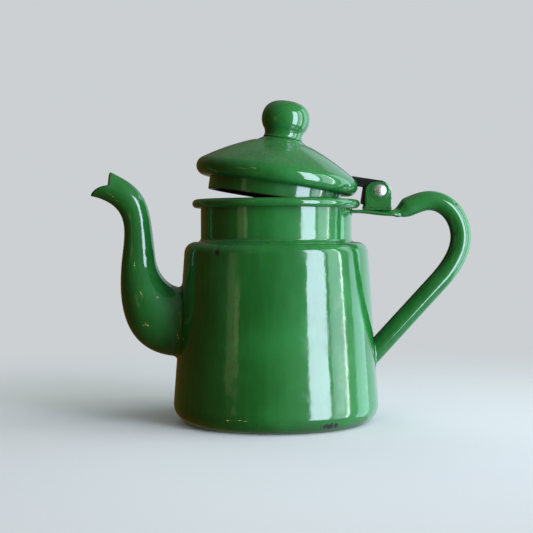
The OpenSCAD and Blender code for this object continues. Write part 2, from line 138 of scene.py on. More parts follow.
# Each point of the outline (radius, height) goes round Z: (r cos a, r sin a, z), with
# r drawn in by dent(a, z) where the sheet isn't perfectly round
def turned(loop, segments, dent=None):
    a = np.linspace(0, 2 * np.pi, segments, endpoint=False)[None, :]
    r, z = loop[:, :1], loop[:, 1:2] + 0 * a
    if dent is not None:
        r = r - dent(a, z) * np.clip(r / 20, 0, 1)
    return np.stack([r * np.cos(a), r * np.sin(a), z], axis=-1)


# A smooth mesh from grids of points (rows, columns, 3) in millimetres. Quads join each
# point to the next row and to the next column, which wraps round, as rows do where asked.
# They are turned over if the signed volume, the sum of p0 . (p1 x p2) / 6, is negative.
def meshFromGrids(name, parts, material, body, stands=(), creases=38):
    points, quads, marks, start = [], [], {"inner": [], "bare": []}, 0
    for part in parts:
        grid = part["grid"]
        rows, cols = grid.shape[:2]
        index = np.arange(rows * cols).reshape(rows, cols)
        r = np.arange(rows if part.get("wrapRows") else rows - 1)
        c = np.arange(cols)
        r2, c2 = (r + 1) % rows, (c + 1) % cols
        faces = np.stack([index[np.ix_(r, c)], index[np.ix_(r, c2)],
                          index[np.ix_(r2, c2)], index[np.ix_(r2, c)]], axis=-1).reshape(-1, 4)
        flat = grid.reshape(-1, 3) * mm
        p = flat[faces]
        volume = (np.einsum("ij,ij->i", p[:, 0], np.cross(p[:, 1], p[:, 2]))
                  + np.einsum("ij,ij->i", p[:, 0], np.cross(p[:, 2], p[:, 3]))).sum()
        if volume < 0:
            faces = faces[:, ::-1]
        points.append(flat)
        quads.append(faces + start)
        start += len(flat)
        for key, values in marks.items():
            values.append(np.broadcast_to(part.get(key, 0.0), (rows, cols)).reshape(-1))
    points, quads = np.concatenate(points), np.concatenate(quads)
    mesh = bpy.data.meshes.new(name)
    mesh.vertices.add(len(points))
    mesh.vertices.foreach_set("co", points.astype(np.float32).ravel())
    mesh.loops.add(quads.size)
    mesh.loops.foreach_set("vertex_index", quads.astype(np.int32).ravel())
    mesh.polygons.add(len(quads))
    mesh.polygons.foreach_set("loop_start", np.arange(0, quads.size, 4, dtype=np.int32))
    mesh.update(calc_edges=True)
    for key, values in marks.items():
        layer = mesh.attributes.new(key, "FLOAT", "POINT")
        layer.data.foreach_set("value", np.concatenate(values).astype(np.float32))
    work = bmesh.new()
    work.from_mesh(mesh)
    bmesh.ops.remove_doubles(work, verts=work.verts, dist=2e-7)
    bmesh.ops.dissolve_degenerate(work, edges=work.edges, dist=1e-8)
    work.to_mesh(mesh)
    work.free()
    mesh.validate()
    mesh.polygons.foreach_set("use_smooth", np.ones(len(mesh.polygons), bool))
    mesh.set_sharp_from_angle(angle=math.radians(creases))
    mesh.materials.append(material)
    piece = bpy.data.objects.new(name, mesh)
    scene.collection.objects.link(piece)
    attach(piece, body)
    if stands:
        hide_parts(*stands)
    return piece


# A small concave fillet of glaze along a line where two faces meet. Its section runs from
# the line plus size along one face, in a quarter circle that bows towards the line, to the
# line plus size along the other, and closes behind the faces. size may vary along the line.
def glazeFillet(line, faceA, faceB, size, sink, steps=7):
    size = np.broadcast_to(size, (len(line),))[:, None, None]
    faceA, faceB = (unit(np.broadcast_to(face, line.shape) * 1.0)[:, None, :] for face in (faceA, faceB))
    a = np.radians(np.linspace(0, 90, steps))[None, :, None]
    bow = line[:, None, :] + size * (faceA * (1 - np.sin(a)) + faceB * (1 - np.cos(a)))
    back = line[:, None, :] - sink * np.minimum(size, 1) * (faceA + faceB) * 0.5
    return np.concatenate([bow, back + size * faceB * 0.6, back, back + size * faceA * 0.6], axis=1)


# the pot's own sizes come first, since every other piece is placed by them
pot = {
    "widestDiameter": 110, "topDiameter": 98.6, "ledgeHeight": 95.3, "cornerRadius": 9,
    "shoulderRadius": 6, "sheet": 1.0, "footRing": 5, "neckDiameter": 81, "neckHeight": 22.6,
    "neckHollow": 2.2, "beadRadius": 2.3, "beadOut": 4.5, "segments": 224, "step": 1.6,
}
cornerAt = np.array([pot["widestDiameter"] / 2 - pot["cornerRadius"], pot["cornerRadius"]])
shoulderAt = np.array([pot["topDiameter"] / 2, pot["ledgeHeight"]]) - pot["shoulderRadius"]
wallRun = shoulderAt - cornerAt
wallTurn = math.degrees(math.atan2(wallRun[1], wallRun[0])
                        - math.acos((pot["cornerRadius"] - pot["shoulderRadius"]) / np.linalg.norm(wallRun)))
wallNormal = np.array([math.cos(math.radians(wallTurn)), math.sin(math.radians(wallTurn))])
wallLow = cornerAt + pot["cornerRadius"] * wallNormal
wallHigh = shoulderAt + pot["shoulderRadius"] * wallNormal
neckRadius = pot["neckDiameter"] / 2
rimTop = pot["ledgeHeight"] + pot["neckHeight"]
beadAt = np.array([neckRadius + pot["beadOut"] - pot["beadRadius"], rimTop - pot["beadRadius"]])


# outside radius of the side wall, a straight taper between its two rounded ends
def wallRadius(z):
    return wallLow[0] + (wallHigh[0] - wallLow[0]) * (z - wallLow[1]) / (wallHigh[1] - wallLow[1])


# how far the hand-worked wall falls short of round: three slow waves, always inwards
def potDent(a, z):
    return (0.10 * (1 + np.sin(2 * a + 0.8 + z / 61)) + 0.04 * (1 + np.sin(5 * a - z / 23 + 2))
            + 0.02 * (1 + np.sin(9 * a + z / 12)))


# colours of the enamel, from the thick coat to what shows where it is worn through
enamelLook = {
    "deep": (0.008, 0.086, 0.014), "light": (0.014, 0.124, 0.024), "olive": (0.018, 0.088, 0.014),
    "edge": (0.022, 0.012, 0.008), "ground": (0.0035, 0.0042, 0.0045), "speck": (0.020, 0.022, 0.022),
    "chip": (0.005, 0.004, 0.0035), "halo": (0.030, 0.046, 0.028), "dust": (0.070, 0.105, 0.060),
    "rust": (0.052, 0.020, 0.009), "ior": 1.53, "coat": 0.35, "coatRoughness": 0.04,
    "polish": 0.08, "bump": 0.40, "bumpDepth": 0.00020,
}
# how fine each marking is: how often its pattern repeats in a metre
enamelGrain = {
    "cloud": 34, "fleck": 420, "runs": 260, "olive": 11, "pinholes": 210, "pinholeFields": 60,
    "dust": 90, "edge": 260, "specks": 330, "chip": 700, "rust": 900, "hairUp": 900,
    "hairAcross": 1100, "smudge": 46, "ripple": 47, "peel": 150, "finePeel": 430,
}
metalLook = {
    "base": (0.90, 0.90, 0.91), "shade": (0.55, 0.56, 0.58), "hollows": 800, "satin": 1400,
    "facets": 900, "bump": 0.3, "bumpDepth": 0.00015,
}
# bare spots where the enamel has flown off: middle (x, y, z) and radius
potChips = [
    (-29.9, -38.8, 90.1, 1.45), (24.3, -47.4, 4.0, 1.5), (26.6, -46.2, 3.5, 1.9),
    (29.5, -44.8, 3.6, 1.5), (-47.6, -25.5, 4.9, 0.9), (18.7, -48.2, 57.8, 0.32),
    (31.0, 42.0, 6.0, 1.6), (-8.0, 54.0, 8.5, 1.2), (38.0, 30.5, 91.5, 0.9),
    (-12.0, 50.2, 62.0, 0.45), (33.0, -25.0, 113.4, 0.9), (36.4, -19.6, 113.2, 1.2),
    (39.0, -13.6, 113.0, 0.8),
]
spoutChips = [(-83.0, -1.5, 70.0, 0.5), (-60.5, -13.5, 40.0, 0.7)]
handleChips = [
    (95.2, -4.6, 115.0, 1.3), (92.8, -4.4, 116.3, 0.8), (54.8, -7.9, 111.6, 0.9),
    (49.8, -8.0, 111.3, 0.5), (62.4, -6.5, 46.5, 0.8), (103.6, 2.0, 101.0, 0.8),
    (101.6, 5.0, 88.0, 0.6),
]
bracketChips = [(50.0, -7.4, 113.2, 0.7), (58.6, -7.2, 113.3, 0.6), (60.9, -7.3, 118.6, 0.4)]
lidChips = [(-30.0, -30.5, 133.5, 0.5), (22.0, 37.0, 128.0, 0.9), (-43.0, 5.0, 127.5, 0.7)]


# an empty material with its node tree and its shader
def newMaterial(name):
    material = bpy.data.materials.new(name)
    material.use_nodes = True
    return material, material.node_tree, material.node_tree.nodes["Principled BSDF"]


# links another node's output to a socket, or sets a number or a colour on it
def feed(tree, socket, value):
    if isinstance(value, bpy.types.NodeSocket):
        tree.links.new(value, socket)
    else:
        socket.default_value = (*value, 1) if socket.type == "RGBA" and len(value) == 3 else value


# one shader node with its settings, its first sockets in order and others by name
def addNode(tree, kind, settings=None, ins=(), **sockets):
    made = tree.nodes.new(kind)
    for key, value in (settings or {}).items():
        setattr(made, key, value)
    for key, value in [*enumerate(ins), *sockets.items()]:
        feed(tree, made.inputs[key], value)
    return made


# colour a where the factor is 0 and b where it is 1
def blendColours(tree, factor, a, b):
    mixer = addNode(tree, "ShaderNodeMix", {"data_type": "RGBA"})
    for index, value in ((0, factor), (6, a), (7, b)):
        feed(tree, mixer.inputs[index], value)
    return mixer.outputs[2]


# a straight change of scale, clamped: value from (low, high) to (toLow, toHigh)
def remap(tree, value, low, high, toLow=0.0, toHigh=1.0, kind="SMOOTHSTEP"):
    made = addNode(tree, "ShaderNodeMapRange", {"interpolation_type": kind}, [value, low, high, toLow, toHigh])
    return made.outputs["Result"]


# ((a op b) op c) and so on, for one kind of arithmetic
def combine(tree, operation, *terms):
    total = terms[0]
    for term in terms[1:]:
        total = addNode(tree, "ShaderNodeMath", {"operation": operation}, [total, term]).outputs[0]
    return total


# a + b + c and so on
def plus(tree, *terms):
    return combine(tree, "ADD", *terms)


# a b c and so on
def times(tree, *terms):
    return combine(tree, "MULTIPLY", *terms)


# soft random clouds from 0 to 1, each octave rough times as strong as the one before
def noise(tree, place, scale, detail=3.0, rough=0.5, warp=0.0):
    return addNode(tree, "ShaderNodeTexNoise", Vector=place, Scale=scale, Detail=detail, Roughness=rough,
                   Distortion=warp).outputs["Fac"]


# distance to the nearest of many scattered points
def cells(tree, place, scale, feature="F1"):
    return addNode(tree, "ShaderNodeTexVoronoi", {"feature": feature}, Vector=place,
                   Scale=scale).outputs["Distance"]


# the same places stretched and turned, so that noise on them comes out in streaks
def stretched(tree, place, stretch, turn=(0.0, 0.0, 0.0)):
    return addNode(tree, "ShaderNodeMapping", Vector=place, Scale=stretch, Rotation=turn).outputs[0]


# the shader's normal, tilted by the slope of height
def addBump(tree, shader, height, look):
    bump = addNode(tree, "ShaderNodeBump", Height=height, Strength=look["bump"], Distance=look["bumpDepth"])
    tree.links.new(bump.outputs[0], shader.inputs["Normal"])


# Glass enamel on sheet steel: a green top coat that pools and thins over a dark ground coat,
# fine orange peel, hair scratches, dull handling marks, bare edges and a few chips.
def enamel(name, chips=(), wear=1.0, darkInside=True, lift=1.0, dusty=0.0):
    look, grain = enamelLook, enamelGrain
    material, tree, shader = newMaterial(name)
    coordinates = addNode(tree, "ShaderNodeTexCoord")
    place = coordinates.outputs["Object"]
    inner, bare = (addNode(tree, "ShaderNodeAttribute", {"attribute_name": key}).outputs["Fac"]
                   for key in ("inner", "bare"))

    # green coat: clouds of thick and thin, runs down the wall, olive patches and flecks
    deep, light, olive = (tuple(v * lift for v in look[key]) for key in ("deep", "light", "olive"))
    cloud = noise(tree, place, grain["cloud"], 4, 0.55, 0.4)
    green = blendColours(tree, remap(tree, cloud, 0.30, 0.72), deep, light)
    runs = noise(tree, stretched(tree, place, (1.0, 1.0, 0.05)), grain["runs"], 3, 0.55)
    green = blendColours(tree, remap(tree, runs, 0.42, 0.72, 0, 0.30), green, tuple(v * 1.25 for v in light))
    patch = noise(tree, place, grain["olive"], 2)
    green = blendColours(tree, remap(tree, patch, 0.48, 0.72, 0, 0.35), green, olive)
    fleck = noise(tree, place, grain["fleck"], 3, 0.6)
    green = blendColours(tree, remap(tree, fleck, 0.60, 0.80, 0, 0.35), green, deep)

    # pinholes in a few fields, and dust on what lies nearly level
    fields = remap(tree, noise(tree, place, grain["pinholeFields"], 1), 0.60, 0.66)
    pits = times(tree, remap(tree, cells(tree, place, grain["pinholes"]), 0.05, 0.09, 1, 0), fields)
    green = blendColours(tree, times(tree, pits, 0.8), green, look["chip"])
    facing = addNode(tree, "ShaderNodeSeparateXYZ", ins=[coordinates.outputs["Normal"]])
    flatTop = remap(tree, facing.outputs["Z"], 0.70, 0.97)
    settled = remap(tree, noise(tree, place, grain["dust"], 5, 0.65, 0.5), 0.30, 0.75, 0.25, 1, "LINEAR")
    dust = times(tree, flatTop, settled, dusty)
    green = blendColours(tree, times(tree, dust, 0.45), green, look["dust"])

    # worn edges, and the dark ground coat with its specks where the green wasn't put on
    ragged = remap(tree, noise(tree, place, grain["edge"], 3, 0.6), 0.2, 0.8, -0.22, 0.22, "LINEAR")
    edgeWorn = remap(tree, plus(tree, bare, ragged), 0.52, 0.92, 0, 0.9)
    colour = blendColours(tree, edgeWorn, green, look["edge"])
    if darkInside:
        specks = remap(tree, cells(tree, place, grain["specks"]), 0.06, 0.12, 0.5, 0)
        ground = blendColours(tree, specks, look["ground"], look["speck"])
        colour = blendColours(tree, remap(tree, inner, 0.25, 0.55), colour, ground)

    # chips: the least distance to any of them in its own radii, with a torn outline
    gone = None
    for x, y, z, radius in chips:
        away = addNode(tree, "ShaderNodeVectorMath", {"operation": "DISTANCE"},
                       [place, (x * mm, y * mm, z * mm)])
        rip = noise(tree, place, grain["chip"] / max(radius, 0.6), 3, 0.6)
        span = plus(tree, combine(tree, "DIVIDE", away.outputs["Value"], radius * mm),
                    remap(tree, rip, 0.2, 0.8, -0.55, 0.55, "LINEAR"))
        gone = span if gone is None else combine(tree, "MINIMUM", gone, span)
    if gone is not None:
        colour = blendColours(tree, remap(tree, gone, 1.0, 1.22, 0.4, 0), colour, look["halo"])
        rust = remap(tree, noise(tree, place, grain["rust"], 2), 0.50, 0.66, 0, 0.35)
        chipColour = blendColours(tree, rust, look["chip"], look["rust"])
        colour = blendColours(tree, remap(tree, gone, 0.86, 1.0, 1, 0), colour, chipColour)
    tree.links.new(colour, shader.inputs["Base Color"])

    # dull marks: broad smudges, fine hair lines both ways and the bare places
    upright = stretched(tree, place, (1.0, 1.0, 0.06), (0.5, 0.9, 0.2))
    crossways = stretched(tree, place, (1.0, 0.05, 1.0), (0.1, 0.4, 1.2))
    hairUp = noise(tree, upright, grain["hairUp"], 2, 0.5)
    hairAcross = noise(tree, crossways, grain["hairAcross"], 2, 0.5)
    hair = plus(tree, remap(tree, hairUp, 0.66, 0.74), remap(tree, hairAcross, 0.68, 0.76))
    smudge = noise(tree, place, grain["smudge"], 5, 0.62, 0.8)
    dull = plus(tree, remap(tree, smudge, 0.46, 0.76, 0, 0.16 * wear, "LINEAR"), times(tree, hair, 0.10 * wear),
                times(tree, edgeWorn, 0.25), times(tree, pits, 0.4), times(tree, dust, 0.34), look["polish"])
    if gone is not None:
        dull = plus(tree, dull, remap(tree, gone, 0.9, 1.05, 0.5, 0))
    tree.links.new(dull, shader.inputs["Roughness"])
    for key, value in (("IOR", "ior"), ("Coat Weight", "coat"), ("Coat Roughness", "coatRoughness")):
        shader.inputs[key].default_value = look[value]

    # surface: orange peel, hair scratches, pinholes and the step down into a chip
    height = plus(tree, noise(tree, place, grain["peel"], 2),
                  times(tree, noise(tree, place, grain["ripple"], 2), 2.2),
                  times(tree, noise(tree, place, grain["finePeel"], 1), 0.40))
    height = combine(tree, "SUBTRACT", height, times(tree, hair, 0.05 * wear), times(tree, pits, 0.6))
    if gone is not None:
        height = combine(tree, "SUBTRACT", height, remap(tree, gone, 0.80, 1.05, 2.4, 0))
    addBump(tree, shader, height, look)
    return material


# bare aluminium rivet: satin, with hammer facets and grey in the hollows
def rivetMetal(name):
    look = metalLook
    material, tree, shader = newMaterial(name)
    place = addNode(tree, "ShaderNodeTexCoord").outputs["Object"]
    grey = remap(tree, noise(tree, place, look["hollows"], 4, 0.6), 0.45, 0.75, 0, 0.7)
    satin = remap(tree, noise(tree, place, look["satin"], 3), 0.3, 0.8, 0.30, 0.50, "LINEAR")
    tree.links.new(blendColours(tree, grey, look["base"], look["shade"]), shader.inputs["Base Color"])
    tree.links.new(satin, shader.inputs["Roughness"])
    shader.inputs["Metallic"].default_value = 1.0
    addBump(tree, shader, cells(tree, place, look["facets"], "SMOOTH_F1"), look)
    return material


potEnamel = enamel("pot_enamel", potChips, dusty=0.4)
spoutEnamel = enamel("spout_enamel", spoutChips)
handleEnamel = enamel("handle_enamel", handleChips, wear=1.4, darkInside=False)
lidEnamel = enamel("lid_enamel", lidChips, dusty=1.0)
smallEnamel = enamel("small_enamel", bracketChips, darkInside=False, wear=1.2, lift=0.9)
darkEnamel = enamel("dark_enamel", wear=1.2)
bareMetal = rivetMetal("bare_rivet")
print("kettle: enamel and metal ready")


# Middle line of the pot's sheet, as (radius, height): along the foot ring, round the base
# corner, up the taper, round the shoulder, up the neck, out over the flare and round the
# bead. Every bend is an arc, and straight stretches join them.
def potPath():
    sheet = pot["sheet"]
    flareRadius = beadAt[0] - (neckRadius - sheet / 2)
    turnRadius = pot["beadRadius"] - sheet / 2
    flareAt = np.array([beadAt[0], beadAt[1] + turnRadius - flareRadius])
    hollowAt = (neckRadius + pot["neckHollow"], pot["ledgeHeight"] + pot["neckHollow"])
    return np.concatenate([
        [[cornerAt[0] - pot["footRing"], sheet / 2]],
        arcRun(cornerAt, pot["cornerRadius"] - sheet / 2, -90, wallTurn, 26),
        arcRun(shoulderAt, pot["shoulderRadius"] - sheet / 2, wallTurn, 90, 20),
        arcRun(hollowAt, pot["neckHollow"] + sheet / 2, 270, 180, 12),
        arcRun(flareAt, flareRadius, 180, 95, 10),
        arcRun(beadAt, turnRadius, 90, -150, 26),
    ]), flareAt, flareRadius


# a closed plug along X: radii 0, r, r and 0 at its two ends, each turned about the X axis
def drill(middle, radius, length, count=20):
    a = np.linspace(0, 2 * np.pi, count, endpoint=False)
    x = length / 2 * np.array([-1, -1, 1, 1])[:, None]
    r = radius * np.array([0, 1, 1, 0])[:, None]
    return np.stack([x + 0 * a, r * np.cos(a), r * np.sin(a)], axis=-1) + np.array(middle, float)


potLine, flareAt, flareRadius = potPath()
loop, inner, bare = sheetLoop(fillIn(potLine, pot["step"]), pot["sheet"], outer=-1)
rolledOver = ease(loop[:, 0], neckRadius + 0.2, neckRadius + 1.6) * (loop[:, 1] > pot["ledgeHeight"] + 4)
inner = inner * (1 - rolledOver)  # the green coat runs over the flare and the bead
bare = bare * 0.35
potShell = meshFromGrids("pot_shell", [{
    "grid": turned(loop, pot["segments"], potDent), "wrapRows": True,
    "inner": inner[:, None], "bare": bare[:, None]}], potEnamel, "pot", ["pot_shell"])

# rings of holes on a hexagonal plan: one hole, then six, then twelve
strainer = {"middle": 52.5, "hole": 3.2, "pitch": 6.0, "rings": 3, "drillLength": 10}
holeGrids = []
for ring in range(strainer["rings"]):
    for k in range(max(1, 6 * ring)):
        turn = math.radians(k * 60 / max(1, ring))
        y = ring * strainer["pitch"] * math.sin(turn)
        z = strainer["middle"] + ring * strainer["pitch"] * math.cos(turn)
        holeGrids.append({"grid": drill((-wallRadius(z), y, z), strainer["hole"] / 2, strainer["drillLength"])})
punch = meshFromGrids("strainer_punch", holeGrids, potEnamel, "pot")
cut = potShell.modifiers.new("strainer holes", "BOOLEAN")
cut.operation, cut.solver, cut.object = "DIFFERENCE", "EXACT", punch
bpy.context.view_layer.update()
pierced = bpy.data.meshes.new_from_object(potShell.evaluated_get(bpy.context.evaluated_depsgraph_get()))
potShell.modifiers.clear()
potShell.data = pierced
pierced.name = "pot_shell"
bpy.data.objects.remove(punch)
print("kettle: pot shell", len(pierced.polygons), "faces")

# bottom plate: a flat seam band, a step up and a raised panel
bottom = {
    "seamRadius": 45.3, "seamHeight": 1.55, "rise": 1.2, "stepFrom": 4.2, "stepTo": 9.0, "bend": 3,
    "step": 1.5, "segments": 160,
}
ringRadius = cornerAt[0] - pot["footRing"]
panelHeight = bottom["seamHeight"] + bottom["rise"]
stepLow = (ringRadius - bottom["stepFrom"], bottom["seamHeight"] + bottom["bend"])
stepHigh = (ringRadius - bottom["stepTo"], panelHeight - bottom["bend"])
bottomPath = fillIn(np.concatenate([
    [[bottom["seamRadius"], bottom["seamHeight"]]],
    arcRun(stepLow, bottom["bend"], -90, -112, 6),
    arcRun(stepHigh, bottom["bend"], 68, 90, 6),
    [[0.3, panelHeight]],
]), bottom["step"])
loop, inner, bare = sheetLoop(bottomPath, pot["sheet"])
loop[:, 0] = np.maximum(loop[:, 0], 0)
bottomPlate = meshFromGrids("bottom_plate", [{
    "grid": turned(loop, bottom["segments"]), "wrapRows": True,
    "inner": 1 - inner[:, None]}], potEnamel, "pot", ["bottom_plate"])


spout = {
    "rootHeight": 52.5, "rootHalfHeight": 18.6, "rootHalfWidth": 15.8, "uprightOut": 21.7,
    "midRadius": 8.75, "midShare": 0.478, "slimRadius": 7.2, "mouthOut": 42, "mouthRise": 8.5,
    "mouthHalf": 8.1, "mouthLean": 40, "notchDepth": 4.2, "notchPlace": 0.3, "swell": 0.19,
    "tuck": 0.45, "sheet": 1.0, "rows": 64, "sides": 72, "lipRows": 5, "weld": 2.0,
}
rootWall = wallRadius(spout["rootHeight"])
uprightX = rootWall + spout["uprightOut"]
mouthAt = np.array([rootWall + spout["mouthOut"], rimTop + spout["mouthRise"]])
lean = math.radians(spout["mouthLean"])
mouthUp = np.array([-math.sin(lean), math.cos(lean)])
midZ = along(spout["rootHeight"], mouthAt[1], spout["midShare"])


# The two outlines of the side view, with x pointing away from the pot. Each is one Bezier
# from the root to mid height and one from there to the mouth. Its handles are set by shares
# of the way and by small offsets in millimetres.
def spoutOutlines(count):
    low = spout["rootHeight"] - spout["rootHalfHeight"]
    high = spout["rootHeight"] + spout["rootHalfHeight"]
    rootLow, rootHigh = np.array([wallRadius(low), low]), np.array([wallRadius(high), high])
    midFront = np.array([uprightX + spout["midRadius"], midZ])
    midBack = np.array([uprightX - spout["midRadius"], midZ])
    beak, lip = mouthAt - spout["mouthHalf"] * mouthUp, mouthAt + spout["mouthHalf"] * mouthUp
    frontLow = [rootLow, (along(rootLow[0], midFront[0], 0.65), rootLow[1] + 1.4),
                (midFront[0] + 4.9, along(rootLow[1], midFront[1], 0.25)), midFront]
    frontHigh = [midFront, (midFront[0] - 2, along(midFront[1], beak[1], 0.5)),
                 (midFront[0] - 3.3, beak[1] - 5.5), beak]
    backLow = [rootHigh, (along(rootHigh[0], midBack[0], 0.45), rootHigh[1] - 0.4),
               (midBack[0] - 0.8, along(rootHigh[1], midBack[1], 0.4)), midBack]
    backHigh = [midBack, (midBack[0] + 3, along(midBack[1], lip[1], 0.55)),
                (midBack[0] + 1.8, lip[1] - 9.4), lip]
    return [np.concatenate([bezierRun(lower, count), bezierRun(upper, count)[1:]])
            for lower, upper in ((frontLow, frontHigh), (backLow, backHigh))]


# Rows of ovals between the two outlines: middle + up half_h cos a, and half_w sin a across.
# The last rows are cut back towards the notch, and the first lies on the pot's wall.
def spoutRows(shrink, tuck):
    count, sides = spout["rows"], spout["sides"]
    front, back = spoutOutlines(count)
    rows = np.arange(len(front))[:, None]
    a = np.linspace(0, 2 * np.pi, sides, endpoint=False)[None, :]
    middle, half = (front + back) / 2, np.linalg.norm(back - front, axis=1)[:, None] / 2
    up = unit(back - front)
    ahead = np.column_stack([up[:, 1], -up[:, 0]])
    ratio = along(spout["rootHalfWidth"] / spout["rootHalfHeight"], 1, ease(1.3 * rows / (count - 1), 0, 1))
    slim = along(spout["midRadius"], spout["slimRadius"], ease(1.6 * (rows - count + 1) / (count - 1), 0, 1))
    halfWide = np.where(rows < count, ratio * half, slim) - shrink
    halfHigh = half - shrink
    u = np.cos(a)
    place = spout["notchPlace"]
    above = np.clip(1 - (u - place) / (1 - place), 0, 1)
    below = np.clip(1 - (place - u) / (1 + place), 0, 1) ** 2.5
    cutBack = spout["notchDepth"] * np.where(u > place, above, below) + tuck
    reach = ease((rows - len(front) + 20) / 19, 0, 1)
    swell = spout["swell"] * np.exp(-((rows - len(front) + 1) / 2.6) ** 2)  # the rolled-out edge
    x = middle[:, :1] + up[:, :1] * (halfHigh + swell) * u - ahead[:, :1] * reach * cutBack
    z = middle[:, 1:] + up[:, 1:] * (halfHigh + swell) * u - ahead[:, 1:] * reach * cutBack
    y = (halfWide + swell) * np.sin(a)
    x[0] = np.sqrt((wallRadius(z[0]) - 0.25) ** 2 - y[0] ** 2)
    return np.stack([-x, y, z], axis=-1)


outerRows, innerRows = spoutRows(0.0, spout["tuck"]), spoutRows(spout["sheet"], spout["tuck"])
lipDir = unit(outerRows[-1] - outerRows[-2])
lipMiddle, lipHalf = (outerRows[-1] + innerRows[-1]) / 2, (outerRows[-1] - innerRows[-1]) / 2
turn = np.linspace(0, np.pi, spout["lipRows"] + 2)[1:-1, None, None]
lipRows = lipMiddle + np.cos(turn) * lipHalf + np.sin(turn) * lipDir * spout["tuck"]
rowsIn, rowsRound = len(outerRows), spout["lipRows"]
spoutInner = np.concatenate([np.zeros(rowsIn), np.linspace(0, 1, rowsRound), np.ones(rowsIn)])
edgeFade = np.exp(-np.linalg.norm(outerRows[-1:] - outerRows, axis=2).mean(1))
spoutBare = np.concatenate([edgeFade, np.ones(rowsRound), edgeFade[::-1]])
spoutPiece = meshFromGrids("spout", [{
    "grid": np.concatenate([outerRows, lipRows, innerRows[::-1]]), "wrapRows": True,
    "inner": spoutInner[:, None], "bare": spoutBare[:, None]}], spoutEnamel, "pot", ["spout"])

# the glaze that fills the corner between the wall and the spout's root
rootRing = spoutRows(-0.05, 0.0)
line = rootRing[0]
outward = awayFromAxis(line)
fromRoot = line - np.array([-rootWall, 0, spout["rootHeight"]])
rootFillet = glazeFillet(line + outward * 0.1, overWall(fromRoot, outward), unit(rootRing[3] - line),
                         spout["weld"], 0.8)
spoutWeld = meshFromGrids("spout_weld", [{
    "grid": rootFillet, "wrapRows": True, "bare": 0.30}], spoutEnamel, "pot")
print("kettle: spout", len(spoutPiece.data.polygons), "faces")


# handle: one strip, flat at the neck, then rolled into an open tube
handle = {
    "tongueWidth": 16, "tongueLip": 1.5, "sheet": 1.6, "gripWidth": 15, "gripDepth": 11.2,
    "reach": 58.3, "archRise": 5.4, "archShare": 0.565, "gripDrop": 13.6, "elbowIn": 12.2,
    "elbowDrop": 37.8, "footHeight": 37, "lipTurn": 145, "rollLength": 9, "strips": 44,
    "capRows": 4, "footWeld": 1.5, "weldAbove": 0.8, "weldBelow": 1.3, "weldPoints": 31,
}
hinge = {
    "pinOut": 14.5, "pinRise": 9, "pin": 4.0, "head": 7.0, "headHeight": 1.9, "tail": 6.4,
    "tailHeight": 1.5, "bracketWidth": 15, "bracketSheet": 1.2, "earFront": 7.8, "earBack": 6.2,
    "earCorner": 5.4, "earTop": 4.6, "footFront": 8.2, "bend": 1.8, "ajar": 8.5,
}
tongueZ = beadAt[1] - pot["beadRadius"] - 0.9 - handle["sheet"] / 2
bracketZ = tongueZ + handle["sheet"] / 2
pinX = neckRadius + hinge["pinOut"]
pinZ = bracketZ + hinge["bracketSheet"] + hinge["pinRise"]
tongueEnd = pinX + hinge["earBack"] + 0.6


# Tongue, arch, grip and tail as one smooth centre line in the XZ plane: a straight, three
# Beziers and a straight, each of which starts the way the one before it ends.
def handleLine():
    gripX, archZ = neckRadius + handle["reach"], tongueZ + handle["archRise"]
    gripZ = tongueZ - handle["gripDrop"]
    archX = along(tongueEnd, gripX, handle["archShare"])
    elbow = np.array([gripX - handle["elbowIn"], tongueZ - handle["elbowDrop"]])
    foot = np.array([wallRadius(handle["footHeight"]), handle["footHeight"]])
    tail = unit(foot - elbow)
    runs = [
        [(tongueEnd, tongueZ), (tongueEnd + 8, tongueZ), (archX - 8, archZ), (archX, archZ)],
        [(archX, archZ), (along(archX, gripX, 0.55), archZ),
         (gripX, along(archZ, gripZ, 0.46)), (gripX, gripZ)],
        [(gripX, gripZ), (gripX, gripZ - 8), elbow - 11 * tail, elbow],
    ]
    start = np.column_stack([np.linspace(neckRadius, tongueEnd, 16)[:-1], np.full(15, tongueZ)])
    end = elbow + (foot - elbow) * np.linspace(0, 1, 26)[1:, None]
    curves = [bezierRun(r, 34)[:-1] for r in runs[:2]] + [bezierRun(runs[2], 26)]
    return np.concatenate([start] + curves + [end]), tail


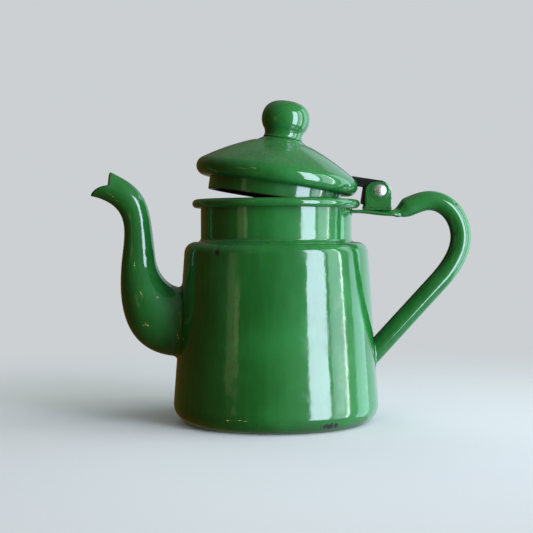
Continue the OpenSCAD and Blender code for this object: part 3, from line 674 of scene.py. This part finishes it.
# Across the strip, u runs from -1 to 1. The tongue is (u w / 2, 0), with its edges folded
# down as it nears the grip. The rolled grip is an oval arc from one lip round the outside to
# the other, and a smooth step turns one into the other. The two faces lie half a sheet to
# either side, and a half circle joins them round each lip.
def stripGrid():
    path, tail = handleLine()
    roll = np.where(path[:, 1] < tongueZ - 1, 1.0,
                    ease(path[:, 0], tongueEnd, tongueEnd + handle["rollLength"]))[:, None, None]
    u = np.linspace(-1, 1, handle["strips"] + 1)
    a = np.radians(90 - u * handle["lipTurn"])
    semiY, semiN = ((handle[key] - handle["sheet"]) / 2 for key in ("gripWidth", "gripDepth"))
    oval = np.column_stack([semiY * np.cos(a), semiN * np.sin(a)])
    ovalNormal = unit(np.column_stack([np.cos(a) / semiY, np.sin(a) / semiN]))
    fold = handle["tongueLip"] * ease(path[:, :1], neckRadius + 3, tongueEnd) * -ease(np.abs(u), 0.7, 1.0)
    flat = np.stack([u * (handle["tongueWidth"] - handle["sheet"] / 2) / 2 + 0 * fold, fold], axis=-1)
    middle = flat * (1 - roll) + oval[None] * roll
    half = handle["sheet"] / 2
    normal = unit(np.array([0.0, 1.0])[None, None] * (1 - roll) + ovalNormal[None] * roll)
    outer, inside = middle + normal * half, middle - normal * half
    spin = np.linspace(0, np.pi, handle["capRows"] + 2)[1:-1, None]
    tip = unit(middle[:, -1] - middle[:, -2])[:, None]
    base = unit(middle[:, 0] - middle[:, 1])[:, None]
    capEnd = middle[:, -1:] + half * (np.cos(spin) * normal[:, -1:] + np.sin(spin) * tip)
    capStart = middle[:, :1] + half * (-np.cos(spin) * normal[:, :1] + np.sin(spin) * base)
    section = np.concatenate([outer, capEnd, inside[:, ::-1], capStart], axis=1)
    grid = carried(path, section[..., 0], section[..., 1])
    near, cap = np.exp(-(1 - np.abs(u)) * 30), np.ones(handle["capRows"])
    bare = np.concatenate([near, cap, near[::-1], cap]) * 0.5
    # the first row lies on the neck, and the last slides along the tail until it meets the wall
    grid[0, :, 0] = np.sqrt(neckRadius ** 2 - grid[0, :, 1] ** 2) - 0.2
    last = grid[-1]
    for _ in range(6):
        gap = last[:, 0] - np.sqrt((wallRadius(last[:, 2]) - 0.2) ** 2 - last[:, 1] ** 2)
        last = last - np.stack([gap, 0 * gap, gap * tail[1] / tail[0]], axis=-1)
    grid[-1] = last
    return grid, bare


# the strip's end, closed by drawing both faces to the sheet's middle line
def closedEnd(row):
    count, caps = handle["strips"] + 1, handle["capRows"]
    middle = (row[:count] + row[count + caps:2 * count + caps][::-1]) / 2
    return [np.concatenate([middle, middle[-1:].repeat(caps, 0), middle[::-1], middle[:1].repeat(caps, 0)])]


handleGrid, stripBare = stripGrid()
handlePiece = meshFromGrids("handle", [{
    "grid": np.concatenate([closedEnd(handleGrid[0]), handleGrid, closedEnd(handleGrid[-1])]),
    "bare": stripBare[None, :]}], handleEnamel, "pot", ["handle"], creases=55)

# glaze in the corners at the foot, above and below the tongue, and along the bracket
footSpan = slice(2, handle["strips"] - 1)
footLine = handleGrid[-1][footSpan]
wallOut = awayFromAxis(footLine)
fillets = [glazeFillet(footLine + wallOut * 0.15, overWall(footLine - footLine.mean(0), wallOut),
                       unit(handleGrid[-3][footSpan] - footLine),
                       handle["footWeld"] * endTaper(len(footLine), 0.06, 0.35), 0.8)]
count = handle["weldPoints"]
ends = endTaper(count, 0.08, 0.3)
tongueY = np.linspace(-7.6, 7.6, count)
tongueX = np.sqrt(neckRadius ** 2 - tongueY ** 2)
for side, size in ((1, handle["weldAbove"]), (-1, handle["weldBelow"])):
    at = np.column_stack([tongueX, tongueY, np.full(count, tongueZ + side * 0.78)])
    fillets.append(glazeFillet(at, (0, 0, side), awayFromAxis(at), size * ends, 0.7))
bracketX = np.linspace(pinX - hinge["footFront"] + 0.2, pinX + hinge["earBack"] - 0.2, count)
for side in (1, -1):
    at = np.column_stack([bracketX, np.full(count, side * 7.0), np.full(count, bracketZ + 0.05)])
    wavy = (1.0 + 0.12 * np.sin(bracketX * 1.9)) * ends
    fillets.append(glazeFillet(at, (0, 0, 1), (0, side, -0.22), wavy, 0.7))
handleWeld = meshFromGrids("handle_weld", [{"grid": g, "bare": 0.42} for g in fillets], handleEnamel, "pot")
print("kettle: handle", len(handlePiece.data.polygons), "faces")


# Hinge bracket: a U-shaped sheet with two rounded ears, seen as a strip that runs up one
# ear, across the base and up the other. Each point of the strip spans front to back, drawn
# in by r - sqrt(r^2 - over^2) at the ears' corners. The faces are half a sheet either side.
def bracketFaces():
    sheet, wide = hinge["bracketSheet"], hinge["bracketWidth"] / 2
    foot, top, corner, bend = -hinge["pinRise"] - sheet, hinge["earTop"], hinge["earCorner"], hinge["bend"]
    path = fillIn(np.concatenate([
        [[-wide + sheet / 2, top - 0.02]],
        arcRun((-wide + bend, foot + bend), bend - sheet / 2, 180, 270, 9),
        arcRun((wide - bend, foot + bend), bend - sheet / 2, 270, 360, 9),
        [[wide - sheet / 2, top - 0.02]],
    ]), 0.45)
    z = path[:, 1:]
    pull = corner - np.sqrt(corner ** 2 - np.clip(z - (top - corner), 0, corner) ** 2)
    front = pull - along(hinge["footFront"], hinge["earFront"], ease(z, foot + 1.6, foot + 2.4))
    x = along(front, hinge["earBack"] - pull, np.linspace(0, 1, 30))
    # the ridge of glaze round the rivet, on the ears only
    ridge = 0.3 * np.exp(-((np.hypot(x, z) - 4.3) / 0.7) ** 2) * (np.abs(path[:, :1]) > wide - 1)
    return [carried(path, x, depth)[..., [1, 0, 2]] for depth in (-sheet / 2 - ridge, sheet / 2)]


# Two faces of a sheet joined round all four sides: each is drawn in a little at its border,
# and the sheet's middle line closes it at the first and the last row.
def padSheet(faceA, faceB, share=0.72):
    middle = (faceA + faceB) / 2

    # the face with its border drawn in, between two rows of the middle line
    def rounded(face):
        out = face.copy()
        for edge in ((0,), (-1,), (slice(None), 0), (slice(None), -1)):
            out[edge] = along(middle[edge], face[edge], share)
        return np.concatenate([middle[:1], out, middle[-1:]])

    return np.concatenate([rounded(faceA), rounded(faceB)[:, ::-1]], axis=1)


bracketPiece = meshFromGrids("hinge_bracket", [{
    "grid": padSheet(*bracketFaces()) + np.array([pinX, 0, pinZ]), "bare": 0.12}],
    smallEnamel, "pot", ["hinge_bracket"], creases=50)


# Half the outline of a rivet, as (radius, along): a domed head (R cos a, H sin a), the plain
# shank, and a formed tail whose flatter dome raises both to a power below 1.
def rivetProfile(shank, head, headHeight, tail, tailHeight, length):
    dome = np.radians(np.linspace(90, 4, 12))
    headRun = np.column_stack([head * np.cos(dome), length / 2 + headHeight * np.sin(dome)])
    tailRun = np.column_stack([tail * np.cos(dome) ** 0.8, -length / 2 - tailHeight * np.sin(dome) ** 0.9])
    return np.concatenate([headRun, [[head * 0.99, length / 2], [shank, length / 2], [shank, -length / 2],
                                     [tail * 0.97, -length / 2]], tailRun[::-1]])


# (radius, along) round an axis in Y, at the pin
def aboutPin(profile, segments=48):
    a = np.linspace(0, 2 * np.pi, segments, endpoint=False)[None, :]
    r, s = profile[:, :1], profile[:, 1:2] + 0 * a
    return np.stack([pinX + r * np.cos(a), -s, pinZ + r * np.sin(a)], axis=-1)


pinProfile = rivetProfile(hinge["pin"] / 2, hinge["head"] / 2, hinge["headHeight"], hinge["tail"] / 2,
                          hinge["tailHeight"], hinge["bracketWidth"])
hingeRivet = meshFromGrids("hinge_rivet", [{"grid": aboutPin(pinProfile)}], bareMetal, "pot", ["hinge_rivet"])
print("kettle: hinge bracket and rivet")


# lid, worked out shut with the middle of its lip at height 0
lid = {
    "diameter": 87.4, "lip": 5.1, "edgeSlope": 34, "topSlope": 19, "seat": 22.6, "seatStep": 0.8,
    "sheet": 1.0, "seatGap": 0.3, "groove": 0.45, "step": 0.9, "segments": 208,
    "skirt": 71.4, "skirtDrop": 12,
}
lipAt = lid["diameter"] / 2 - lid["lip"]
lidHeight = flareAt[1] + math.sqrt((lid["lip"] + flareRadius + pot["sheet"] / 2 + lid["seatGap"]) ** 2
                                   - (flareAt[0] - lipAt) ** 2)
edgeSlope, topSlope = math.radians(lid["edgeSlope"]), math.radians(lid["topSlope"])
edgeUp = np.array([math.sin(edgeSlope), math.cos(edgeSlope)])
domeStart = np.array([lipAt, 0]) + lid["lip"] * edgeUp
seatRadius = lid["seat"] / 2
domeRadius = (domeStart[0] - seatRadius) / (math.sin(edgeSlope) - math.sin(topSlope))
domeAt = domeStart - domeRadius * edgeUp
seatHeight = domeAt[1] + domeRadius * math.cos(topSlope) + lid["seatStep"]


# turns points about the pin by the angle at which the lid stands ajar, and puts them there
def turnAjar(grid):
    a = math.radians(hinge["ajar"])
    x, z = grid[..., 0], grid[..., 2]
    return np.stack([pinX + x * math.cos(a) + z * math.sin(a), grid[..., 1],
                     pinZ - x * math.sin(a) + z * math.cos(a)], axis=-1)


# the same for points of the shut lid, which are first raised to its height
def standAjar(grid):
    return turnAjar(grid + np.array([-pinX, 0, lidHeight - pinZ]))


# the lid's own slight waviness, inwards only: two slow waves round it
def lidDent(a, z):
    return 0.07 * (1 + np.sin(2 * a + 2.1)) + 0.03 * (1 + np.sin(5 * a + z / 9))


# Middle line of the lid's sheet, as (radius, height): the level seat of the knob, a small
# bend, the dome as one arc, the lip as a tighter one and the level hem under it.
def lidPath():
    half = lid["sheet"] / 2
    slopes = np.linspace(topSlope, edgeSlope, 40)
    dome = domeAt + (domeRadius - half) * np.column_stack([np.sin(slopes), np.cos(slopes)])
    dome[:, 1] -= lid["groove"] * np.exp(-((dome[:, 0] - seatRadius - 2.6) / 1.3) ** 2)  # round the knob
    bend = (seatRadius - 1.3, seatHeight - half)
    return np.concatenate([
        [[2.1, bend[1]], bend],
        arcRun((bend[0], bend[1] - 1.0), 1.0, 88, 45, 5),
        dome[2:],
        arcRun((lipAt, 0), lid["lip"] - half, 90 - lid["edgeSlope"] - 5, -90, 26),
        [[lid["skirt"] / 2 + 0.9, -lid["lip"] + half]],
    ])


loop, inner, bare = sheetLoop(fillIn(lidPath(), lid["step"]), lid["sheet"])
lidPiece = meshFromGrids("lid_cover", [{
    "grid": standAjar(turned(loop, lid["segments"], lidDent)), "wrapRows": True,
    "inner": inner[:, None], "bare": (bare * 0.3)[:, None]}], lidEnamel, "lid", ["lid_cover"])

skirtMiddle = (lid["skirt"] - lid["sheet"]) / 2
flangeHeight = -lid["lip"] + lid["sheet"] * 1.5 + 0.05
skirtPath = np.concatenate([
    [[skirtMiddle, -lid["skirtDrop"] + 0.5]],
    arcRun((skirtMiddle + 1, flangeHeight - 1), 1, 180, 90, 8),
    [[lipAt - 0.9, flangeHeight]],
])
loop, inner, bare = sheetLoop(fillIn(skirtPath, lid["step"]), lid["sheet"], outer=-1)
skirtPiece = meshFromGrids("lid_skirt", [{
    "grid": standAjar(turned(loop, lid["segments"], lidDent)), "wrapRows": True,
    "inner": inner[:, None], "bare": (bare * 0.9)[:, None]}], lidEnamel, "lid", ["lid_skirt"])

knob = {
    "diameter": 25.6, "halfHeight": 10.6, "neck": 20, "height": 21.4, "crown": 0.9,
    "waist": 0.35, "flare": 0.5, "step": 0.8, "segments": 96,
    "rivetHead": 4.0, "rivetHeadHeight": 2.0, "rivetShank": 2.0, "rivetTail": 0.6,
}


# Outline of the knob, as (radius, height): the ball is an oval about its middle, with a
# crown flatter than the rest, drawn in to a waisted neck that flares again at the seat.
def knobOutline():
    half, middle = knob["halfHeight"], seatHeight + knob["height"] - knob["halfHeight"]
    neck, ball = knob["neck"] / 2, knob["diameter"] / 2
    a = np.radians(np.linspace(3 - math.degrees(math.acos(neck / ball)), 90, 44))
    shellZ = middle + half * np.sign(np.sin(a)) * np.abs(np.sin(a)) ** 0.95 - knob["crown"] * ease(a, 0.5, 1.5)
    shell = np.column_stack([ball * np.cos(a) ** 0.9, shellZ])
    shell[-1, 0] = 0
    neckLow = seatHeight + 0.02
    share = np.linspace(0, 1, 12)
    neckZ = along(neckLow + 0.35, shell[0, 1], share)
    neckR = (along(neck, shell[0, 0], share) - knob["waist"] * np.sin(np.pi * share)
             + knob["flare"] * (1 - share) ** 4)
    foot = [[0, neckLow], [neck - 0.2, neckLow], [neck + 0.3, neckLow + 0.1]]
    return np.concatenate([foot, np.column_stack([neckR, neckZ])[:-1], shell])


knobLoop = fillIn(knobOutline(), knob["step"])
knobBare = 0.55 * np.exp(-((knobLoop[:, 1] - seatHeight) / 0.5) ** 2)
knobPiece = meshFromGrids("knob", [{
    "grid": standAjar(turned(knobLoop, knob["segments"])),
    "bare": knobBare[:, None]}], lidEnamel, "lid", ["knob"])

# knob rivet: a low dome under the lid, with its tail shut inside the knob
under, tailTop = seatHeight - lid["sheet"], seatHeight + knob["rivetTail"]
dome = np.radians(np.linspace(90, 0, 12))
rivetRun = np.concatenate([
    np.column_stack([knob["rivetHead"] * np.cos(dome), under - knob["rivetHeadHeight"] * np.sin(dome)]),
    [[knob["rivetShank"], under], [knob["rivetShank"], tailTop], [0, tailTop]]])
rivetRun[0, 0] = 0
knobRivet = meshFromGrids("knob_rivet", [{
    "grid": standAjar(turned(rivetRun, 48))}], bareMetal, "lid", ["knob_rivet"])
print("kettle: lid, skirt and knob")


# hinge leaf: a strap from the lid's edge that curls down round the pin, with a flange at
# each side, drawn about the pin and then turned with the lid
leaf = {
    "sheet": 1.1, "rise": 5.5, "sideGap": 0.3, "reach": 15.4, "drop": 4.0, "bend": 0.9,
    "front": 8.4, "foot": 8.2, "swing": 11.45, "rays": 120,
}
leafWidth = hinge["bracketWidth"] - 2 * hinge["bracketSheet"] - 2 * leaf["sideGap"]


# Strap: an inverted U of sheet carried along a straight and then an arc of the rise's
# radius. Its sides hang down by the drop beside the lid and shrink to nothing in the curl.
def leafStrap():
    sheet, rise, bend = leaf["sheet"], leaf["rise"], leaf["bend"]
    path = fillIn(np.concatenate([
        [[-leaf["reach"], rise - sheet / 2]], arcRun((0, 0), rise - sheet / 2, 90, 4, 22)]), 0.6)
    wide, hem = (leafWidth - sheet) / 2, -leaf["drop"] + sheet / 2
    across = np.concatenate([[[-wide, hem]], arcRun((bend - wide, -bend), bend, 180, 90, 7),
                             arcRun((wide - bend, -bend), bend, 90, 0, 7), [[wide, hem]]])
    section, inner, bare = sheetLoop(fillIn(across, 0.5), sheet, rounds=4)
    hang = along(1, 0.08, ease(path[:, 0], -4.5, -0.5))[:, None]
    y, z = section[:, 0], section[None, :, 1]
    sunk = -bend - sheet / 2
    grid = carried(path, y, np.where(z < sunk, sunk + (z - sunk) * hang, z))
    middle = (grid + grid[:, ::-1][:, np.roll(np.arange(len(section)), 4)]) / 2
    ends = [[along(grid[row], middle[row], 0.98)] for row in (0, -1)]
    return np.concatenate([ends[0], grid, ends[1]]), np.maximum(inner, 0.75)


# Flange: rays from the pin's hole out to an outline R(a), the farther of the curl's circle
# and, towards the lid, a straight-sided tab cut by the circle that clears the pot's rim.
def leafFlange(side):
    a = np.linspace(0, 2 * np.pi, leaf["rays"] + 1)[:-1]
    c, s = np.cos(a), np.sin(a)
    curl = leaf["rise"] - 0.25
    lidward, below, above = c < -1e-6, s < -1e-6, s > 1e-6
    toFront = np.where(lidward, leaf["front"] / np.maximum(-c, 1e-6), 0)
    toFoot = np.where(below, leaf["foot"] / np.maximum(-s, 1e-6), 1e9)
    toTop = np.where(above, curl / np.maximum(s, 1e-6), 1e9)
    tab = np.minimum(np.minimum(toFront, toFoot), np.minimum(toTop, leaf["swing"]))
    behind = np.where(s < 0, np.minimum(toFoot, leaf["rise"]), 0)
    outline = np.maximum(curl, np.where(lidward, tab, behind))
    hole = hinge["pin"] / 2 + 0.05
    r = along(hole, outline[None, :], np.linspace(0, 1, 14)[:, None])
    outerFace, innerFace = (np.stack([r * c, np.full_like(r, side * y), r * s], axis=-1)
                            for y in (leafWidth / 2 - 0.02, leafWidth / 2 - leaf["sheet"]))
    rim = (outerFace[-1:] + innerFace[-1:]) / 2
    for face in (outerFace, innerFace):
        face[-1] = along(rim[0], face[-1], 0.75)
    return np.concatenate([outerFace, rim, innerFace[::-1]])


# the whole leaf is drawn near black: the strap counts as at least 0.75 inner on both of its faces and the
# flanges as fully inner, so the dark coat covers all of it
strap, strapDarkShare = leafStrap()
leafParts = [{"grid": turnAjar(strap), "inner": strapDarkShare[None, :], "bare": 0.30}]
for side in (-1, 1):
    leafParts.append({"grid": turnAjar(leafFlange(side)), "wrapRows": True, "inner": 1.0, "bare": 0.2})
leafPiece = meshFromGrids("hinge_leaf", leafParts, darkEnamel, "lid", ["hinge_leaf"], creases=50)
print("kettle: hinge leaf")


# stage: a pale floor that fades into the backdrop, in metres
stageLook = {
    "floor": (0.54, 0.55, 0.56), "far": (0.60, 0.63, 0.65), "roughness": 0.95, "gloss": 0.1,
    "radius": 1.25, "fadeFrom": 0.10, "fadeTo": 0.42, "rings": 25, "spokes": 96,
}


# a flat disc in rings that widen outwards, (r cos a, r sin a, 0)
def floorDisc():
    rings, spokes = stageLook["rings"], stageLook["spokes"]
    r = np.concatenate([[0], np.geomspace(0.05, stageLook["radius"], rings - 1)])[:, None]
    a = np.linspace(0, 2 * np.pi, spokes, endpoint=False)[None, :]
    points = np.stack([r * np.cos(a), r * np.sin(a), 0 * r * a], axis=-1).reshape(-1, 3)
    index = np.arange(rings * spokes).reshape(rings, spokes)
    nextCol = np.roll(index, -1, axis=1)
    quads = np.stack([index[:-1], index[1:], nextCol[1:], nextCol[:-1]], axis=-1).reshape(-1, 4)
    mesh = bpy.data.meshes.new("floor")
    mesh.from_pydata(points.tolist(), [], quads.tolist())
    mesh.validate()
    disc = bpy.data.objects.new("floor", mesh)
    scene.collection.objects.link(disc)
    return disc


floor = floorDisc()
floorPaint, tree, matt = newMaterial("floor_paint")
matt.inputs["Roughness"].default_value = stageLook["roughness"]
matt.inputs["Specular IOR Level"].default_value = stageLook["gloss"]
matt.inputs["Base Color"].default_value = (*stageLook["floor"], 1)
where = addNode(tree, "ShaderNodeTexCoord").outputs["Object"]
span = addNode(tree, "ShaderNodeVectorMath", {"operation": "LENGTH"}, [where])
fade = remap(tree, span.outputs["Value"], stageLook["fadeFrom"], stageLook["fadeTo"])
glow = addNode(tree, "ShaderNodeEmission", Color=stageLook["far"], Strength=1.0)
joined = addNode(tree, "ShaderNodeMixShader", ins=[fade, matt.outputs[0], glow.outputs[0]])
tree.links.new(joined.outputs[0], tree.nodes["Material Output"].inputs["Surface"])
floor.data.materials.append(floorPaint)
floor.visible_glossy = False  # the kettle mirrors and is lit by the room, not by the pale floor
floor.visible_diffuse = False
floor.visible_shadow = False

# the room that the enamel mirrors: warm and dark at -X, cool and pale at +X
room = {"warmDark": (0.085, 0.048, 0.010), "coolPale": (0.46, 0.60, 0.68), "above": (0.22, 0.25, 0.23)}
world = bpy.data.worlds.new("studio")
scene.world = world
world.use_nodes = True
tree = world.node_tree
tree.nodes.clear()
axes = addNode(tree, "ShaderNodeSeparateXYZ", ins=[addNode(tree, "ShaderNodeTexCoord").outputs["Generated"]])
tone = blendColours(tree, remap(tree, axes.outputs["X"], -0.35, 0.95), room["warmDark"], room["coolPale"])
upward = remap(tree, axes.outputs["Z"], 0.15, 0.95)
tone = blendColours(tree, times(tree, upward, 0.8), tone, room["above"])
lit = addNode(tree, "ShaderNodeBackground", Color=tone, Strength=1.0)
seen = addNode(tree, "ShaderNodeBackground", Color=stageLook["far"], Strength=1.0)
rayKind = addNode(tree, "ShaderNodeLightPath").outputs["Is Camera Ray"]
both = addNode(tree, "ShaderNodeMixShader", ins=[rayKind, lit.outputs[0], seen.outputs[0]])
addNode(tree, "ShaderNodeOutputWorld", ins=[both.outputs[0]])


# a soft panel at an azimuth (0 is the camera's side, 90 is +X), aimed at the kettle's axis
def softPanel(name, azimuth, distance, height, wide, tall, watts, colour, aimHeight=None, mirrored=True):
    data = bpy.data.lights.new(name, "AREA")
    data.shape, data.size, data.size_y = "RECTANGLE", wide, tall
    data.energy, data.color = watts, colour
    lamp = bpy.data.objects.new(name, data)
    a = math.radians(azimuth)
    lamp.location = (distance * math.sin(a), -distance * math.cos(a), height)
    aim = Vector((0, 0, height if aimHeight is None else aimHeight))
    lamp.rotation_euler = (aim - lamp.location).to_track_quat("-Z", "Y").to_euler()
    lamp.visible_camera = False
    lamp.visible_glossy = mirrored
    scene.collection.objects.link(lamp)
    return lamp


doorwayWarm = (1.0, 0.93, 0.50)
softPanel("window", 48.0, 0.85, 0.20, 0.36, 1.14, 15.2, (0.69, 0.80, 1.0))
softPanel("lit_wall", 74, 0.88, 0.20, 0.30, 1.14, 3.3, (0.66, 0.88, 0.98))
softPanel("window_edge", 84, 0.80, 0.20, 0.035, 1.0, 1.4, (0.84, 0.92, 0.94))
softPanel("bright_back_room", 111, 1.0, 0.25, 0.40, 1.4, 4.0, (0.58, 0.92, 1.0))
softPanel("dim_back_room", 143, 1.0, 0.25, 0.85, 1.4, 2.0, (0.62, 0.92, 0.95))
softPanel("back_fill", 210, 1.1, 0.55, 0.9, 0.9, 6.5, (0.95, 0.98, 1.0), mirrored=False)
# The far doorway and the view through the window are broken up by things that stand in
# them. The lists give the height of each gap's middle and how tall the gap is.
doorwayGaps = [(0.116, 0.098), (0.056, 0.008), (0.044, 0.007), (0.034, 0.006), (0.006, 0.006), (-0.020, 0.009)]
for k, (lift, tall) in enumerate(doorwayGaps):
    softPanel("doorway_%d" % (k + 1), -46 - k % 2, 1.1, lift, 0.11, tall, 0.29 * tall, doorwayWarm)
softPanel("doorway_wall", -54, 1.1, 0.17, 0.17, 0.34, 0.07, doorwayWarm)
softPanel("ceiling", 80, 0.62, 1.15, 0.8, 0.8, 8.5, (1.0, 0.98, 0.94), aimHeight=0.07, mirrored=False)
softPanel("front_fill", 38, 1.1, 0.45, 0.8, 0.8, 5.0, (0.92, 1.0, 0.94), mirrored=False)
leafyGaps = [(-0.016, 0.007), (-0.002, 0.004), (0.009, 0.007), (0.021, 0.004), (0.030, 0.006),
             (0.042, 0.004), (0.052, 0.005), (0.068, 0.004), (0.098, 0.006)]
for k, (lift, tall) in enumerate(leafyGaps):
    softPanel("leafy_gap_%d" % (k + 1), 73 + 3 * (k * 2 % 3), 0.82, lift, 0.15, tall, 1.6 * tall,
              (0.80, 0.88, 1.0))
# azimuth, height and width of each lamp
warmLamps = [(-29.5, 0.38, 0.030), (-33.5, 0.40, 0.030), (-36, -0.42, 0.040), (-42, -0.41, 0.016),
             (-57, -0.44, 0.030)]
for k, (turnBy, lift, wide) in enumerate(warmLamps):
    softPanel("warm_lamp_%d" % (k + 1), turnBy, 0.80, lift, wide, 0.012, 0.05, (1.0, 0.62, 0.22),
              aimHeight=0.07)

view = {"at": (-0.0051, -0.617, 0.1004), "towards": (-0.0051, 0.0, 0.0821), "lens": 77.7}
cameraData = bpy.data.cameras.new("camera")
cameraData.sensor_width, cameraData.lens = 36.0, view["lens"]
cameraData.clip_start, cameraData.clip_end = 0.02, 20
camera = bpy.data.objects.new("camera", cameraData)
camera.location = view["at"]
camera.rotation_euler = (Vector(view["towards"]) - Vector(view["at"])).to_track_quat("-Z", "Y").to_euler()
scene.collection.objects.link(camera)
scene.camera = camera
scene.view_settings.view_transform = "Standard"
print("kettle: stage, lights and camera")
